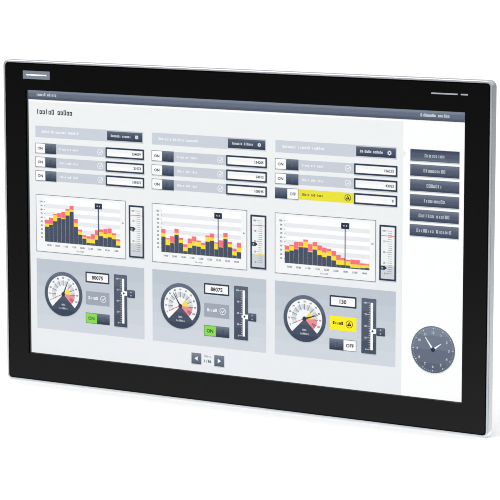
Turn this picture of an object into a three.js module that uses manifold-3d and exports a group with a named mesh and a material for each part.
// A 21.5-inch widescreen operator touch panel for a control cabinet door.
//
// Millimetres, +Z up. The glass faces -Y and the electronics stand behind it, towards +Y. The origin is
// the centre of the front outline, in the plane of the front frame's rear face, which is where the
// cabinet door comes to rest. From front to back: aluminium front frame with bonded cover glass and touch
// film, display module, sheet-steel tub that goes through the door's cut-out, and a die-cast cover over
// the mainboard with its sockets underneath. Clamps hook into the tub's top and bottom walls, and their
// threaded pins press on the back of the door.
import * as THREE from "three";
import { mergeVertices } from "three/addons/utils/BufferGeometryUtils.js";
import Module from "manifold-3d";

// -------------------------------------------------------------------------------------------------
// Driving dimensions
// -------------------------------------------------------------------------------------------------

const LAYER_GAP = 0.1; // between layers that lie on each other
const FIT_GAP = 0.3; // round a piece that drops into a pocket

const ACTIVE = { w: 476.06, h: 267.79 }; // the picture of a 21.5-inch 16:9 display
const BORDER = { side: 24.27, top: 27.1 }; // black border of the glass round the picture
const RIM = 2.4; // aluminium rim that shows round the glass

const GLASS = { w: ACTIVE.w + 2 * BORDER.side, h: ACTIVE.h + 2 * BORDER.top, r: 3.2, t: 3 };
const FRONT_POCKET = { w: GLASS.w + 2 * FIT_GAP, h: GLASS.h + 2 * FIT_GAP, r: GLASS.r + FIT_GAP };
const FRONT = { w: FRONT_POCKET.w + 2 * RIM, h: FRONT_POCKET.h + 2 * RIM, r: FRONT_POCKET.r + RIM, t: 9 };
const FRONT_EDGE = 1; // rounding of the frame's front edge

const TUB = { w: 504, h: 307.4, r: 5, y0: 0.3, y1: 28, wall: 1.6 };
const COVER = { w: 400, h: 232, r: 6, y0: 28.3, y1: 58, wall: 2, flange: 8, flangeT: 2 };
const DOOR_GAP_MAX = 6.5; // from the gasket to the tips of the clamps' pins

// Depth of each layer of the front, from the glass back
const GLASS_Y = -FRONT.t + LAYER_GAP;
const BOND_Y = GLASS_Y + GLASS.t;
const BOND_T = 0.3;
const LEDGE_Y = BOND_Y + BOND_T + LAYER_GAP;
const SENSOR_Y = BOND_Y + BOND_T + LAYER_GAP / 2;
const SENSOR_T = 0.15;

// Display module, as sold: 495.6 x 292.2 mm outline
const LCD = { w: 495.6, h: 292.2, y: -5, bezelT: 0.9, sideT: 0.8, back: 4 };
const CELL = { w: 492, h: 288.4, y: -3.9, t: 1.4 };
const FILMS = { w: 490, h: 284, t: 0.6 };
const GUIDE = { w: 486, h: 277, t: 3 };
const TRAY = { w: 493, h: 289.6, t: 0.8 };

// Electronics
const BOARD = { x: 180, z0: -112, z1: 68, y: 34.3, t: 1.6 };
const BOARD_TOP = BOARD.y + BOARD.t; // the board's component face
const STANDOFF = { x: 170, z: [-98, 58], r: 3.2 };
const SOCKET_Y = BOARD_TOP + FIT_GAP; // sockets stand on the board
const COVER_UNDER = -COVER.h / 2; // the cover's underside, where the sockets open
const NETWORK_X = [-70, -50];
const USB_X = [0, 22];
const POWER_X = -150;
const CONTACT_X = [-1, 1].map((side) => POWER_X + (side * 7.62) / 2);

// Clamps
const CLAMP_X = [-205, -70, 70, 205];
const CLAMP_W = 14;
const PIN_R = 1.95;
const PIN_HEIGHT = 4.2; // of a pin's axis above the tub's wall
const PIN_LENGTH = 23;

// Memory card door, on the cover's -X side
const DOOR = { x: -COVER.w / 2 - 2.4, y: 34.2, z0: 12.6, z1: 53.4, depth: 14, pinR: 0.8 };
const CARD = { w: 24, t: 2.1, l: 32, y: 36.9, z: 33, x: -COVER.w / 2 + 0.8 };

// -------------------------------------------------------------------------------------------------
// Materials
// -------------------------------------------------------------------------------------------------

const finish = (color, roughness, metalness, extra = {}) =>
  new THREE.MeshStandardMaterial({ color, roughness, metalness, ...extra });

const anodised = finish(0xc9cdd0, 0.35, 0.9);
const castAluminium = finish(0xa9adb0, 0.5, 0.8);
const zincSteel = finish(0xb4b7b6, 0.4, 0.9);
const brightSteel = finish(0xc4c6c8, 0.25, 1);
const coverGlass = finish(0x0c0d0e, 0.05, 0, { transparent: true, opacity: 0.35 });
const blackTape = finish(0x0b0b0c, 0.6, 0);
const sensorFilm = finish(0xdfe4e6, 0.1, 0, { transparent: true, opacity: 0.35 });
const rubber = finish(0x1c1c1d, 0.85, 0);
const litScreen = finish(0xeef0f3, 0.3, 0);
const whiteFilm = finish(0xf2f3f1, 0.6, 0);
const clearAcrylic = finish(0xe6efef, 0.15, 0, { transparent: true, opacity: 0.5 });
const circuitBoard = finish(0x1d5b3a, 0.5, 0.1);
const blackPlastic = finish(0x1b1c1e, 0.5, 0);
const greenPlastic = finish(0x2e8b4a, 0.5, 0);
const amberFilm = finish(0xb9782a, 0.4, 0);
const greyPad = finish(0x8a9096, 0.8, 0);
const brass = finish(0xc2a15a, 0.35, 0.9);

// -------------------------------------------------------------------------------------------------
// Shapes and solids
// -------------------------------------------------------------------------------------------------

const wasm = await Module();
wasm.setup();

/** Rectangle about the origin, in the plane of the panel, with corners of radius r. */
function rectangle({ w, h, r = 0 }) {
  const x = w / 2;
  const y = h / 2;
  const shape = new THREE.Shape();
  if (r === 0) return shape.moveTo(-x, -y).lineTo(x, -y).lineTo(x, y).lineTo(-x, y);
  shape.moveTo(-x + r, -y);
  shape.lineTo(x - r, -y);
  shape.absarc(x - r, -y + r, r, -Math.PI / 2, 0);
  shape.lineTo(x, y - r);
  shape.absarc(x - r, y - r, r, 0, Math.PI / 2);
  shape.lineTo(-x + r, y);
  shape.absarc(-x + r, y - r, r, Math.PI / 2, Math.PI);
  shape.lineTo(-x, -y + r);
  shape.absarc(-x + r, -y + r, r, Math.PI, 1.5 * Math.PI);
  return shape;
}

/** A shape drawn in X and Z, given depth from y0 back to y1. */
function plate(shape, y0, y1, curveSegments = 5) {
  const made = new THREE.ExtrudeGeometry(shape, { depth: y1 - y0, bevelEnabled: false, curveSegments });
  return made.rotateX(Math.PI / 2).translate(0, y1, 0);
}

/** A rectangular plate, or a ring where inner is given. */
function panel(outer, y0, y1, inner) {
  const shape = rectangle(outer);
  if (inner) shape.holes.push(rectangle(inner));
  return plate(shape, y0, y1);
}

/** A polygon drawn in Y and Z, given width along X from x0 to x1. */
function profile(points, x0, x1) {
  const shape = new THREE.Shape(points.map(([y, z]) => new THREE.Vector2(y, z)));
  const made = new THREE.ExtrudeGeometry(shape, { depth: x1 - x0, bevelEnabled: false });
  return made.applyMatrix4(new THREE.Matrix4().set(0, 0, 1, x0, 1, 0, 0, 0, 0, 1, 0, 0, 0, 0, 0, 1));
}

/** A box from its lowest and highest X, Y and Z. */
function box([x0, x1], [y0, y1], [z0, z1]) {
  const made = new THREE.BoxGeometry(x1 - x0, y1 - y0, z1 - z0);
  return made.translate((x0 + x1) / 2, (y0 + y1) / 2, (z0 + z1) / 2);
}

/** A box from its centre in X, its half width, and its ranges in Y and Z. */
const boxAt = (x, half, y, z) => box([x - half, x + half], y, z);

/** A range from its lower end and its length, and one grown at both ends. */
const span = (start, length) => [start, start + length];
const widen = ([low, high], by) => [low - by, high + by];

/** A round bar along Y. */
function barY(x, z, r, y0, y1, sides = 16) {
  return new THREE.CylinderGeometry(r, r, y1 - y0, sides).translate(x, (y0 + y1) / 2, z);
}

/** A round bar along Z. */
function barZ(x, y, r, z0, z1, sides = 16) {
  const made = new THREE.CylinderGeometry(r, r, z1 - z0, sides).rotateX(Math.PI / 2);
  return made.translate(x, y, (z0 + z1) / 2);
}

function toSolid(geometry) {
  const bare = geometry.clone();
  bare.deleteAttribute("normal");
  bare.deleteAttribute("uv");
  const merged = mergeVertices(bare, 1e-4);
  const triVerts = new Uint32Array(merged.index.array);
  return new wasm.Manifold(
    new wasm.Mesh({ numProp: 3, vertProperties: merged.attributes.position.array, triVerts }),
  );
}

function toGeometry(solid) {
  const { numProp, numVert, vertProperties, triVerts } = solid.getMesh();
  const position = new Float32Array(numVert * 3);
  for (let i = 0; i < numVert; i++) {
    position.set(vertProperties.subarray(i * numProp, i * numProp + 3), i * 3);
  }
  const made = new THREE.BufferGeometry();
  made.setAttribute("position", new THREE.BufferAttribute(position, 3));
  made.setIndex(new THREE.BufferAttribute(new Uint32Array(triVerts), 1));
  return made;
}

const join = (...shapes) => toGeometry(shapes.map(toSolid).reduce((a, b) => a.add(b)));
const subtract = (solid, tool) => solid.subtract(tool);
const cut = (shape, ...tools) => toGeometry(tools.map(toSolid).reduce(subtract, toSolid(shape)));

const device = new THREE.Group();

function add(name, geometry, material) {
  const mesh = new THREE.Mesh(geometry, material);
  mesh.name = name;
  device.add(mesh);
  return mesh;
}

/** An outline moved outwards all round; square corners stay square. */
function grown({ w, h, r = 0 }, by) {
  return { w: w + 2 * by, h: h + 2 * by, r: r && Math.max(r + by, 0.5) };
}

// -------------------------------------------------------------------------------------------------
// Front: frame, glass, touch film and gasket
// -------------------------------------------------------------------------------------------------

const LCD_OPENING = grown(LCD, 0.6);
const BOSS = grown({ w: TUB.w, h: TUB.h, r: TUB.r }, -TUB.wall - FIT_GAP);
const BOSS_Y = 6;
const GASKET_OUTER = grown(FRONT, -2.8);
const GASKET_INNER = grown(TUB, 1.7);
const GASKET = { depth: 1.2, proud: 0.6 };

function frontFrame() {
  const rounded = new THREE.ExtrudeGeometry(rectangle(FRONT), {
    depth: FRONT_EDGE,
    bevelThickness: FRONT_EDGE,
    bevelSize: FRONT_EDGE,
    bevelOffset: -FRONT_EDGE,
    bevelSegments: 2,
    curveSegments: 5,
  });
  rounded.rotateX(Math.PI / 2).translate(0, -FRONT.t + 2 * FRONT_EDGE, 0);
  const body = join(rounded, panel(FRONT, -FRONT.t + FRONT_EDGE, 0), panel(BOSS, -1, BOSS_Y));
  return cut(
    body,
    panel(FRONT_POCKET, -FRONT.t - 1, LEDGE_Y),
    panel(LCD_OPENING, LEDGE_Y - 1, BOSS_Y + 1),
    panel(grown(GASKET_OUTER, FIT_GAP), -GASKET.depth - FIT_GAP, 1, grown(GASKET_INNER, -FIT_GAP)),
  );
}

add("front_frame", frontFrame(), anodised);
add("front_glass", panel(GLASS, GLASS_Y, BOND_Y), coverGlass);
add(
  "glass_bond_frame",
  panel(grown(GLASS, -0.3), BOND_Y + LAYER_GAP / 2, BOND_Y + BOND_T, grown(ACTIVE, 1)),
  blackTape,
);
add("touch_sensor", panel(grown(ACTIVE, 4), SENSOR_Y, SENSOR_Y + SENSOR_T), sensorFilm);
add("mounting_gasket", panel(GASKET_OUTER, -GASKET.depth, GASKET.proud, GASKET_INNER), rubber);

// -------------------------------------------------------------------------------------------------
// Display module
// -------------------------------------------------------------------------------------------------

const FILMS_Y = CELL.y + CELL.t + LAYER_GAP;
const GUIDE_Y = FILMS_Y + FILMS.t + LAYER_GAP;
const TRAY_Y = GUIDE_Y + GUIDE.t + LAYER_GAP;
const LED = { count: 24, w: 5.6, h: 1.4, strip: 1.2 };

function displayBezel() {
  const side = { w: LCD.w - 2 * LCD.sideT, h: LCD.h - 2 * LCD.sideT };
  return join(
    panel(LCD, LCD.y, LCD.y + LCD.bezelT, grown(ACTIVE, 1.9)),
    panel(LCD, LCD.y + LCD.bezelT / 2, LCD.back, side),
  );
}

function ledBar() {
  const z = -GUIDE.h / 2 - 0.3;
  const half = ACTIVE.w / 2;
  const pitch = (2 * half) / LED.count;
  const strip = box([-half, half], [GUIDE_Y, GUIDE_Y + GUIDE.t], [z - LED.h - LED.strip, z - LED.h]);
  const lampY = widen(span(GUIDE_Y, GUIDE.t), -0.4);
  const lamps = Array.from({ length: LED.count }, (_, i) =>
    boxAt(-half + (i + 0.5) * pitch, LED.w / 2, lampY, [z - LED.h - 0.1, z]),
  );
  return join(strip, ...lamps);
}

function backTray() {
  const ribs = [-1, 1].flatMap((s) => [
    boxAt(s * 150, 7, [TRAY_Y + TRAY.t / 2, TRAY_Y + 2.4], [-120, 120]),
    boxAt(s * 60, 7, [TRAY_Y + TRAY.t / 2, TRAY_Y + 2.4], [-50, 120]),
  ]);
  return join(panel(TRAY, TRAY_Y, TRAY_Y + TRAY.t), ...ribs);
}

/** A strip from the frame's rear boss to the display's back; side is -1 on the left, 1 on the right. */
function displayBracket(side) {
  const [boss, inner] = [TUB.w / 2 - TUB.wall - 0.8, 234];
  const reach = (a, b) => [side * a, side * b].sort((p, q) => p - q);
  return join(
    box(reach(inner, boss), [BOSS_Y + LAYER_GAP, BOSS_Y + 1.3], [-118, 118]),
    box(reach(inner, inner + 8), [TRAY_Y + TRAY.t + LAYER_GAP, BOSS_Y + 1], [-118, 118]),
  );
}

add("lcd_bezel", displayBezel(), zincSteel);
add("lcd_cell", panel(CELL, CELL.y, CELL.y + CELL.t), litScreen);
add("optical_films", panel(FILMS, FILMS_Y, FILMS_Y + FILMS.t), whiteFilm);
add("light_guide", panel(GUIDE, GUIDE_Y, GUIDE_Y + GUIDE.t), clearAcrylic);
add("led_bar", ledBar(), whiteFilm);
add("lcd_back_tray", backTray(), zincSteel);
add("lcd_bracket_left", displayBracket(-1), zincSteel);
add("lcd_bracket_right", displayBracket(1), zincSteel);

// -------------------------------------------------------------------------------------------------
// Rear tub, with the clamps' slots and the board's standoffs
// -------------------------------------------------------------------------------------------------

const TUB_BACK = TUB.y1 - TUB.wall; // the tub's inner rear face
const SLOT = { y0: 9.9, y1: 15, half: CLAMP_W / 2 + FIT_GAP };
const CABLE_SLOTS = [
  { x: 90, z: -30, w: 46, h: 10 }, // display ribbon
  { x: 0, z: -100, w: 40, h: 10 }, // touch ribbon
  { x: 168, z: -70, w: 12, h: 10 }, // backlight cable
];
const COVER_SCREW_X = COVER.w / 2 + 4.2;
const COVER_SCREWS = [-1, 1].flatMap((s) => [-100, 0, 100].map((z) => ({ x: s * COVER_SCREW_X, z })));
const GROUND = { x: -228, z: -132, r: 2.5 };

function rearTub() {
  const hollow = grown(TUB, -TUB.wall);
  const standoffs = [-1, 0, 1].flatMap((s) =>
    STANDOFF.z.map((z) => barY(s * STANDOFF.x, z, STANDOFF.r, TUB_BACK + 0.5, BOARD.y - LAYER_GAP, 12)),
  );
  const clampSlots = CLAMP_X.flatMap((x) =>
    [-1, 1].map((s) => boxAt(x, SLOT.half, [SLOT.y0, SLOT.y1], span((s * TUB.h) / 2 - 4, 8))),
  );
  const cableSlots = CABLE_SLOTS.map(({ x, z, w, h }) =>
    boxAt(x, w / 2, [TUB_BACK - 2, TUB.y1 + 2], [z - h / 2, z + h / 2]),
  );
  const screwHoles = COVER_SCREWS.map(({ x, z }) => barY(x, z, 1.75, TUB_BACK - 2, TUB.y1 + 2, 12));
  const groundHole = barY(GROUND.x, GROUND.z, GROUND.r + FIT_GAP, TUB_BACK - 2, TUB.y1 + 2, 12);
  const walls = cut(panel(TUB, TUB.y0, TUB.y1), panel(hollow, TUB.y0 - 1, TUB_BACK));
  return cut(join(walls, ...standoffs), ...clampSlots, ...cableSlots, ...screwHoles, groundHole);
}

add("rear_tub", rearTub(), zincSteel);

/** Hexagonal or round column along Y with a hole, such as a nut or a washer. */
function collar(x, z, r, hole, y0, y1, sides) {
  return cut(barY(x, z, r, y0, y1, sides), barY(x, z, hole, y0 - 1, y1 + 1, 16));
}

const WASHER_T = 1;
const NUT_T = 4;
const NUT_Y = TUB.y1 + 2 * LAYER_GAP + WASHER_T;
add(
  "ground_stud",
  join(
    barY(GROUND.x, GROUND.z, GROUND.r, TUB_BACK - 1, 41, 16),
    barY(GROUND.x, GROUND.z, 4.4, TUB_BACK - 2.6, TUB_BACK - LAYER_GAP, 16),
  ),
  brass,
);
add(
  "ground_washer",
  collar(GROUND.x, GROUND.z, 5.5, GROUND.r + 0.2, TUB.y1 + LAYER_GAP, TUB.y1 + LAYER_GAP + WASHER_T, 20),
  brass,
);
add("ground_nut", collar(GROUND.x, GROUND.z, 4.6, GROUND.r + 0.2, NUT_Y, NUT_Y + NUT_T, 6), brass);

// -------------------------------------------------------------------------------------------------
// Rear cover, with fins, vents, socket cut-outs and the card door's hinge ears
// -------------------------------------------------------------------------------------------------

const FIN = { count: 25, pitch: 9, t: 2.2, h: 4, z0: -52, z1: 96 };
const VENT = { count: 14, pitch: 8, w: 3.2, y0: 38, y1: 52 };
const CUTOUT_GAP = 0.4;
const NETWORK = { half: 8, t: 13.5, deep: 18.6 };
const USB = { half: 7.2, t: 7.2, deep: 14.6 };
const HEADER = { half: 10.5, t: 10, deep: 13.6 };
const SOCKET_FACE = COVER_UNDER - 0.6; // mouths of the sockets
const EAR = { t: 3.5, z: [DOOR.z0 + 0.4, DOOR.z1 - 0.4] };

function socketCutout(x, { half, t }) {
  const y = widen(span(SOCKET_Y, t), CUTOUT_GAP);
  return boxAt(x, half + CUTOUT_GAP, y, [COVER_UNDER - 3, COVER_UNDER + 5]);
}

/** The X of one of several equal steps centred on the middle. */
const stepX = (i, { count, pitch }) => (i - (count - 1) / 2) * pitch;

function rearCover() {
  const hollow = grown(COVER, -COVER.wall);
  const shell = join(
    panel(COVER, COVER.y0, COVER.y1),
    panel(grown(COVER, COVER.flange), COVER.y0, COVER.y0 + COVER.flangeT),
  );
  const fins = Array.from({ length: FIN.count }, (_, i) =>
    boxAt(stepX(i, FIN), FIN.t / 2, [COVER.y1 - 1, COVER.y1 + FIN.h], [FIN.z0, FIN.z1]),
  );
  const ears = [EAR.z[0], EAR.z[1] - EAR.t].map((z) =>
    box([DOOR.x - 1.3, -COVER.w / 2 + 1], [DOOR.y - 1.6, DOOR.y + 1.6], span(z, EAR.t)),
  );
  const vents = Array.from({ length: VENT.count }, (_, i) => {
    const x = stepX(i, VENT);
    return [
      boxAt(x, VENT.w / 2, [VENT.y0, VENT.y1], [COVER.h / 2 - 6, COVER.h / 2 + 3]),
      boxAt(x + 120, VENT.w / 2, [VENT.y0, VENT.y1], [COVER_UNDER - 3, COVER_UNDER + 6]),
    ];
  }).flat();
  const sockets = [
    ...NETWORK_X.map((x) => socketCutout(x, NETWORK)),
    ...USB_X.map((x) => socketCutout(x, USB)),
    socketCutout(POWER_X, HEADER),
  ];
  const cardSlot = box(
    [-COVER.w / 2 - 1, -COVER.w / 2 + 4],
    widen(span(CARD.y, CARD.t), FIT_GAP),
    widen(span(CARD.z - CARD.w / 2, CARD.w), FIT_GAP),
  );
  const screwHoles = COVER_SCREWS.map(({ x, z }) => barY(x, z, 1.75, COVER.y0 - 1, COVER.y0 + 4, 12));
  return cut(
    join(cut(shell, panel(hollow, COVER.y0 - 1, COVER.y1 - COVER.wall)), ...fins, ...ears),
    ...vents,
    ...sockets,
    cardSlot,
    ...screwHoles,
    barZ(DOOR.x, DOOR.y, DOOR.pinR + 0.15, DOOR.z0 - 2, DOOR.z1 + 2, 12),
  );
}

add("rear_cover", rearCover(), castAluminium);

/** A pan-head screw along Y, its head's seat at the given depth and its shank going forward. */
function coverScrew({ x, z }) {
  const seat = COVER.y0 + COVER.flangeT + LAYER_GAP;
  const outline = [
    [0, -5],
    [1.45, -5],
    [1.45, 0],
    [2.8, 0],
    [2.8, 1.1],
    [2.1, 1.9],
    [0, 1.9],
  ].map(([r, y]) => new THREE.Vector2(r, y));
  const body = new THREE.LatheGeometry(outline, 10).translate(x, seat, z);
  const socket = new THREE.CylinderGeometry(1, 1, 1.4, 6).translate(x, seat + 1.9, z);
  return cut(body, socket);
}

COVER_SCREWS.forEach((at, i) => add(`cover_screw_${i + 1}`, coverScrew(at), brightSteel));

// -------------------------------------------------------------------------------------------------
// Mainboard and what is on it
// -------------------------------------------------------------------------------------------------

const CPU = { x: 30, z: 20, half: 17, t: 1.4 };
const COVER_INNER = COVER.y1 - COVER.wall;
const PAD_T = 0.8;

function mainboard() {
  const outline = box([-BOARD.x, BOARD.x], [BOARD.y, BOARD_TOP], [BOARD.z0, BOARD.z1]);
  const soldered = [
    boxAt(CPU.x, CPU.half, [BOARD.y + 1, BOARD_TOP + CPU.t], [CPU.z - CPU.half, CPU.z + CPU.half]),
    ...[-1, 0, 1, 2].map((i) => boxAt(85 + i * 14, 5.5, [BOARD.y + 1, BOARD_TOP + 1.2], [14, 24])),
    ...[0, 1, 2].map((i) => boxAt(-30 - i * 16, 5, [BOARD.y + 1, BOARD_TOP + 5], [-52, -42])),
    boxAt(120, 9, [BOARD.y + 1, BOARD_TOP + 1.6], [-60, -42]),
    boxAt(-20, 7, [BOARD.y + 1, BOARD_TOP + 1.6], [-20, -6]),
    boxAt(90, 16, [BOARD.y + 1, BOARD_TOP + 3], [-20, -15]),
  ];
  const holes = [-1, 0, 1].flatMap((s) =>
    STANDOFF.z.map((z) => barY(s * STANDOFF.x, z, 1.7, BOARD.y - 1, BOARD_TOP + 1, 12)),
  );
  return cut(join(outline, ...soldered), ...holes);
}

function powerModule() {
  const body = boxAt(POWER_X, 24, [SOCKET_Y, SOCKET_Y + 13], [-86, -44]);
  const windowY = [SOCKET_Y + 12, SOCKET_Y + 14];
  const windows = [-1, 0, 1].map((i) => boxAt(POWER_X + i * 13, 4.5, windowY, [-78, -52]));
  return cut(body, ...windows);
}

function networkSocket(x) {
  return cut(
    boxAt(x, NETWORK.half, span(SOCKET_Y, NETWORK.t), span(SOCKET_FACE, NETWORK.deep)),
    boxAt(x, 5.9, span(SOCKET_Y + 2, 8.2), span(SOCKET_FACE - 1, 13.6)),
    boxAt(x, 3, span(SOCKET_Y + 9, 3), span(SOCKET_FACE - 1, 9)),
  );
}

function usbSocket(x) {
  const shell = cut(
    boxAt(x, USB.half, span(SOCKET_Y, USB.t), span(SOCKET_FACE, USB.deep)),
    boxAt(x, 6.3, [SOCKET_Y + 1, SOCKET_Y + 6.2], span(SOCKET_FACE - 1, 11.6)),
  );
  return join(shell, boxAt(x, 5.6, span(SOCKET_Y + 2, 1.8), span(SOCKET_FACE + 0.8, 11.2)));
}

/** The header on the board: a shroud round two contact pins. */
function powerSocket() {
  const shroud = cut(
    boxAt(POWER_X, HEADER.half, span(SOCKET_Y, HEADER.t), span(SOCKET_FACE, HEADER.deep)),
    boxAt(POWER_X, 8.2, span(SOCKET_Y + 1.5, 7), span(SOCKET_FACE - 1, 11.6)),
  );
  const pins = CONTACT_X.map((x) => boxAt(x, 0.5, span(SOCKET_Y + 4.5, 1), span(SOCKET_FACE + 2.6, 9.4)));
  return join(shroud, ...pins);
}

add("mainboard", mainboard(), circuitBoard);
const spreaderY = [BOARD_TOP + CPU.t + LAYER_GAP, COVER_INNER - PAD_T - 2 * LAYER_GAP];
add("heat_spreader", boxAt(CPU.x, 26, spreaderY, [CPU.z - 26, CPU.z + 26]), castAluminium);
const padY = [COVER_INNER - PAD_T - LAYER_GAP, COVER_INNER - LAYER_GAP];
add("thermal_pad", boxAt(CPU.x, 24, padY, [CPU.z - 24, CPU.z + 24]), greyPad);
add("power_module", powerModule(), zincSteel);
NETWORK_X.forEach((x, i) => add(`network_socket_${i + 1}`, networkSocket(x), brightSteel));
USB_X.forEach((x, i) => add(`usb_socket_${i + 1}`, usbSocket(x), brightSteel));
add("power_socket", powerSocket(), greenPlastic);

// -------------------------------------------------------------------------------------------------
// Power plug, which pulls down out of its socket, and its two terminal screws
// -------------------------------------------------------------------------------------------------

const PLUG = { top: SOCKET_FACE - 0.6, bottom: SOCKET_FACE - 18.6, y: span(SOCKET_Y - 1.6, 15) };
const WIRE = { half: 2.3, y: SOCKET_Y + 4, deep: 11 };
const TERMINAL = { z: PLUG.bottom + 7, r: 2.3, bottom: PLUG.y[1] - 6.4, head: PLUG.y[1] - 0.9 };

function powerPlug() {
  const body = boxAt(POWER_X, 10.3, PLUG.y, [PLUG.bottom, PLUG.top]);
  const insert = boxAt(POWER_X, 7.8, span(SOCKET_Y + 1.9, 6.2), [PLUG.top - 1, SOCKET_FACE + 10]);
  const holes = CONTACT_X.flatMap((x) => [
    boxAt(x, 0.85, span(SOCKET_Y + 4.15, 1.7), [PLUG.top - 1, SOCKET_FACE + 11]),
    boxAt(x, WIRE.half, widen([WIRE.y, WIRE.y], WIRE.half), span(PLUG.bottom - 1, WIRE.deep + 1)),
    barY(x, TERMINAL.z, TERMINAL.r + FIT_GAP, TERMINAL.bottom, PLUG.y[1] + 1),
  ]);
  return cut(join(body, insert), ...holes);
}

function terminalScrew(x) {
  const body = barY(x, TERMINAL.z, TERMINAL.r, TERMINAL.bottom + FIT_GAP, TERMINAL.head);
  return cut(body, boxAt(x, 3, span(TERMINAL.head - 1, 2), span(TERMINAL.z - 0.35, 0.7)));
}

add("power_plug", powerPlug(), greenPlastic);
CONTACT_X.forEach((x, i) => add(`terminal_screw_${i + 1}`, terminalScrew(x), zincSteel));

// -------------------------------------------------------------------------------------------------
// Memory card, its reader and the hinged door over it
// -------------------------------------------------------------------------------------------------

const SIDE = -COVER.w / 2; // the cover's -X face
const CARD_Z = [CARD.z - CARD.w / 2, CARD.z + CARD.w / 2];

function cardReader() {
  const body = box([SIDE + 2.4, SIDE + 37], [SOCKET_Y, CARD.y + CARD.t + 0.8], widen(CARD_Z, 1));
  const slot = box(
    [SIDE - 1, CARD.x + CARD.l + 1.4],
    widen(span(CARD.y, CARD.t), 0.15),
    widen(CARD_Z, 0.2),
  );
  return cut(body, slot);
}

function memoryCard() {
  const body = box([CARD.x, CARD.x + CARD.l], [CARD.y, CARD.y + CARD.t], CARD_Z);
  const corner = new THREE.BoxGeometry(6, 6, 6).rotateY(Math.PI / 4);
  return cut(body, corner.translate(CARD.x + CARD.l, CARD.y + 1, CARD_Z[1]));
}

/** A shallow cap over the card slot, hinged along Z at its front edge. */
function cardDoor() {
  const y = [DOOR.y + 2, DOOR.y + DOOR.depth];
  const face = [DOOR.x - 3.2, DOOR.x - 1.6];
  const rim = [DOOR.x - 2, SIDE - 0.4];
  const leafZ = [EAR.z[0] + EAR.t + FIT_GAP, EAR.z[1] - EAR.t - FIT_GAP];
  return cut(
    join(
      box(face, y, [DOOR.z0, DOOR.z1]),
      box(rim, [y[1] - 1.2, y[1]], [DOOR.z0, DOOR.z1]),
      box(rim, [y[0] + 0.6, y[1]], [DOOR.z0, DOOR.z0 + 1.2]),
      box(rim, [y[0] + 0.6, y[1]], [DOOR.z1 - 1.2, DOOR.z1]),
      box(face, [DOOR.y - 1.2, y[0] + 0.5], leafZ),
      barZ(DOOR.x, DOOR.y, 1.65, ...leafZ),
      box([DOOR.x - 2, DOOR.x - 0.6], [DOOR.y - 1, DOOR.y + 1], leafZ),
    ),
    barZ(DOOR.x, DOOR.y, DOOR.pinR + 0.15, DOOR.z0 - 2, DOOR.z1 + 2, 12),
  );
}

add("card_reader", cardReader(), brightSteel);
add("memory_card", memoryCard(), blackPlastic);
add("card_door", cardDoor(), blackPlastic);
add("card_door_pin", barZ(DOOR.x, DOOR.y, DOOR.pinR, EAR.z[0], EAR.z[1], 12), brightSteel);

// -------------------------------------------------------------------------------------------------
// Touch controller and the three leads inside
// -------------------------------------------------------------------------------------------------

const CONTROLLER = { y: 10, t: 1.6, half: 38, z: [-132, -108] };

/** A flat lead: its route in Y and Z as a list of points, given a thickness and a width along X. */
function flatLead(route, thickness, x, width) {
  const line = route.map(([y, z]) => new THREE.Vector2(y, z));
  const side = (at) => {
    const before = line[Math.max(at - 1, 0)];
    const after = line[Math.min(at + 1, line.length - 1)];
    const along = after.clone().sub(before).normalize();
    return new THREE.Vector2(-along.y, along.x).multiplyScalar(thickness / 2);
  };
  const left = line.map((p, i) => p.clone().add(side(i)));
  const right = line.map((p, i) => p.clone().sub(side(i))).reverse();
  const outline = [...left, ...right].map((p) => [p.x, p.y]);
  if (THREE.ShapeUtils.area(outline.map(([y, z]) => new THREE.Vector2(y, z))) < 0) outline.reverse();
  return profile(outline, x - width / 2, x + width / 2);
}

function touchController() {
  const board = boxAt(0, CONTROLLER.half, span(CONTROLLER.y, CONTROLLER.t), CONTROLLER.z);
  const chip = boxAt(0, 8, span(CONTROLLER.y + 1, CONTROLLER.t + 0.2), [-128, -112]);
  return join(board, chip);
}

function backlightCable() {
  const route = new THREE.CatmullRomCurve3(
    [
      [196, 5.2, -128],
      [194, 11, -118],
      [186, 17, -100],
      [174, 20, -82],
      [168, 24, -70],
      [168, 32.6, -70],
    ].map((p) => new THREE.Vector3(...p)),
  );
  const section = new THREE.Shape().absarc(0, 0, 1.1, 0, 2 * Math.PI);
  return new THREE.ExtrudeGeometry(section, { extrudePath: route, steps: 14, curveSegments: 4 });
}

add("touch_controller", touchController(), circuitBoard);
add(
  "touch_ribbon",
  flatLead(
    [
      [-5.22, -135.6],
      [-5.22, -146],
      [-5.1, -146.4],
      [-4.7, -146.5],
      [6, -146.5],
      [8.4, -144],
      [9.4, -139],
      [9.6, -126],
    ],
    0.25,
    0,
    30,
  ),
  amberFilm,
);
add(
  "display_ribbon",
  flatLead(
    [
      [4.6, -54],
      [12, -52],
      [18, -44],
      [20, -34],
      [24, -30.5],
      [33.4, -29.5],
    ],
    0.5,
    90,
    34,
  ),
  amberFilm,
);
add("backlight_cable", backlightCable(), blackPlastic);

// -------------------------------------------------------------------------------------------------
// Clamps: a hooked bracket in each slot, and the threaded pin that presses on the door
// -------------------------------------------------------------------------------------------------

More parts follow.
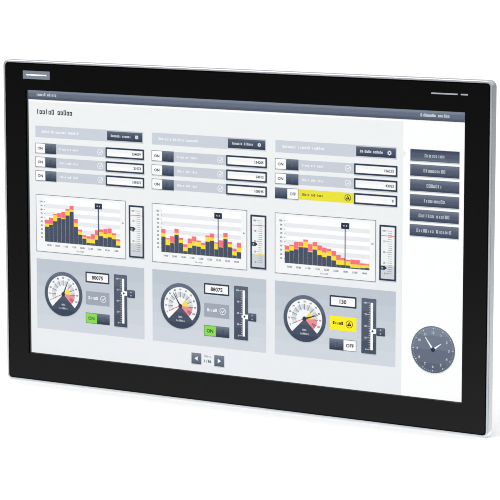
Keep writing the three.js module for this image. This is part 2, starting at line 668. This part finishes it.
const LEG = { y0: 17, y1: 24, h: 7.2 };

/** The bracket on the top wall, about its own centre in X; z is measured from the wall. */
function clampBracket() {
  const wall = TUB.h / 2;
  const side = [
    [7.6, -TUB.wall - 2.8],
    [14.7, -TUB.wall - 2.8],
    [14.7, 0.2],
    [LEG.y1, 0.2],
    [LEG.y1, LEG.h],
    [LEG.y0, LEG.h],
    [LEG.y0 - 2.4, 1.8],
    [9.2, 1.8],
    [9.2, 0.2],
    [12.4, 0.2],
    [12.4, -TUB.wall - 0.3],
    [7.6, -TUB.wall - 0.3],
  ].map(([y, z]) => [y, wall + z]);
  const hole = barY(0, wall + PIN_HEIGHT, PIN_R + 0.2, LEG.y0 - 3, LEG.y1 + 1);
  return cut(profile(side, -CLAMP_W / 2, CLAMP_W / 2), hole);
}

/** A threaded pin with a cone point at its front and a hexagon socket at its rear. */
function clampScrew() {
  const tip = GASKET.proud + DOOR_GAP_MAX;
  const outline = [
    [0, 0],
    [1.1, 0],
    [PIN_R, 0.9],
    [PIN_R, PIN_LENGTH - 0.4],
    [PIN_R - 0.4, PIN_LENGTH],
    [0, PIN_LENGTH],
  ].map(([r, y]) => new THREE.Vector2(r, y));
  const body = new THREE.LatheGeometry(outline, 12).translate(0, tip, TUB.h / 2 + PIN_HEIGHT);
  const socket = new THREE.CylinderGeometry(1.1, 1.1, 5, 6);
  socket.translate(0, tip + PIN_LENGTH, TUB.h / 2 + PIN_HEIGHT);
  return cut(body, socket);
}

/** Places a top-wall piece on the top wall, or turned half way round Y on the bottom wall. */
function onWall(geometry, x, side) {
  return (side > 0 ? geometry : geometry.clone().rotateY(Math.PI)).clone().translate(x, 0, 0);
}

const bracket = clampBracket();
const pin = clampScrew();
[1, -1].forEach((side, row) => {
  CLAMP_X.forEach((x, i) => {
    const number = row * CLAMP_X.length + i + 1;
    add(`clamp_bracket_${number}`, onWall(bracket, x, side), castAluminium);
    add(`clamp_screw_${number}`, onWall(pin, x, side), brightSteel);
  });
});

export default device;
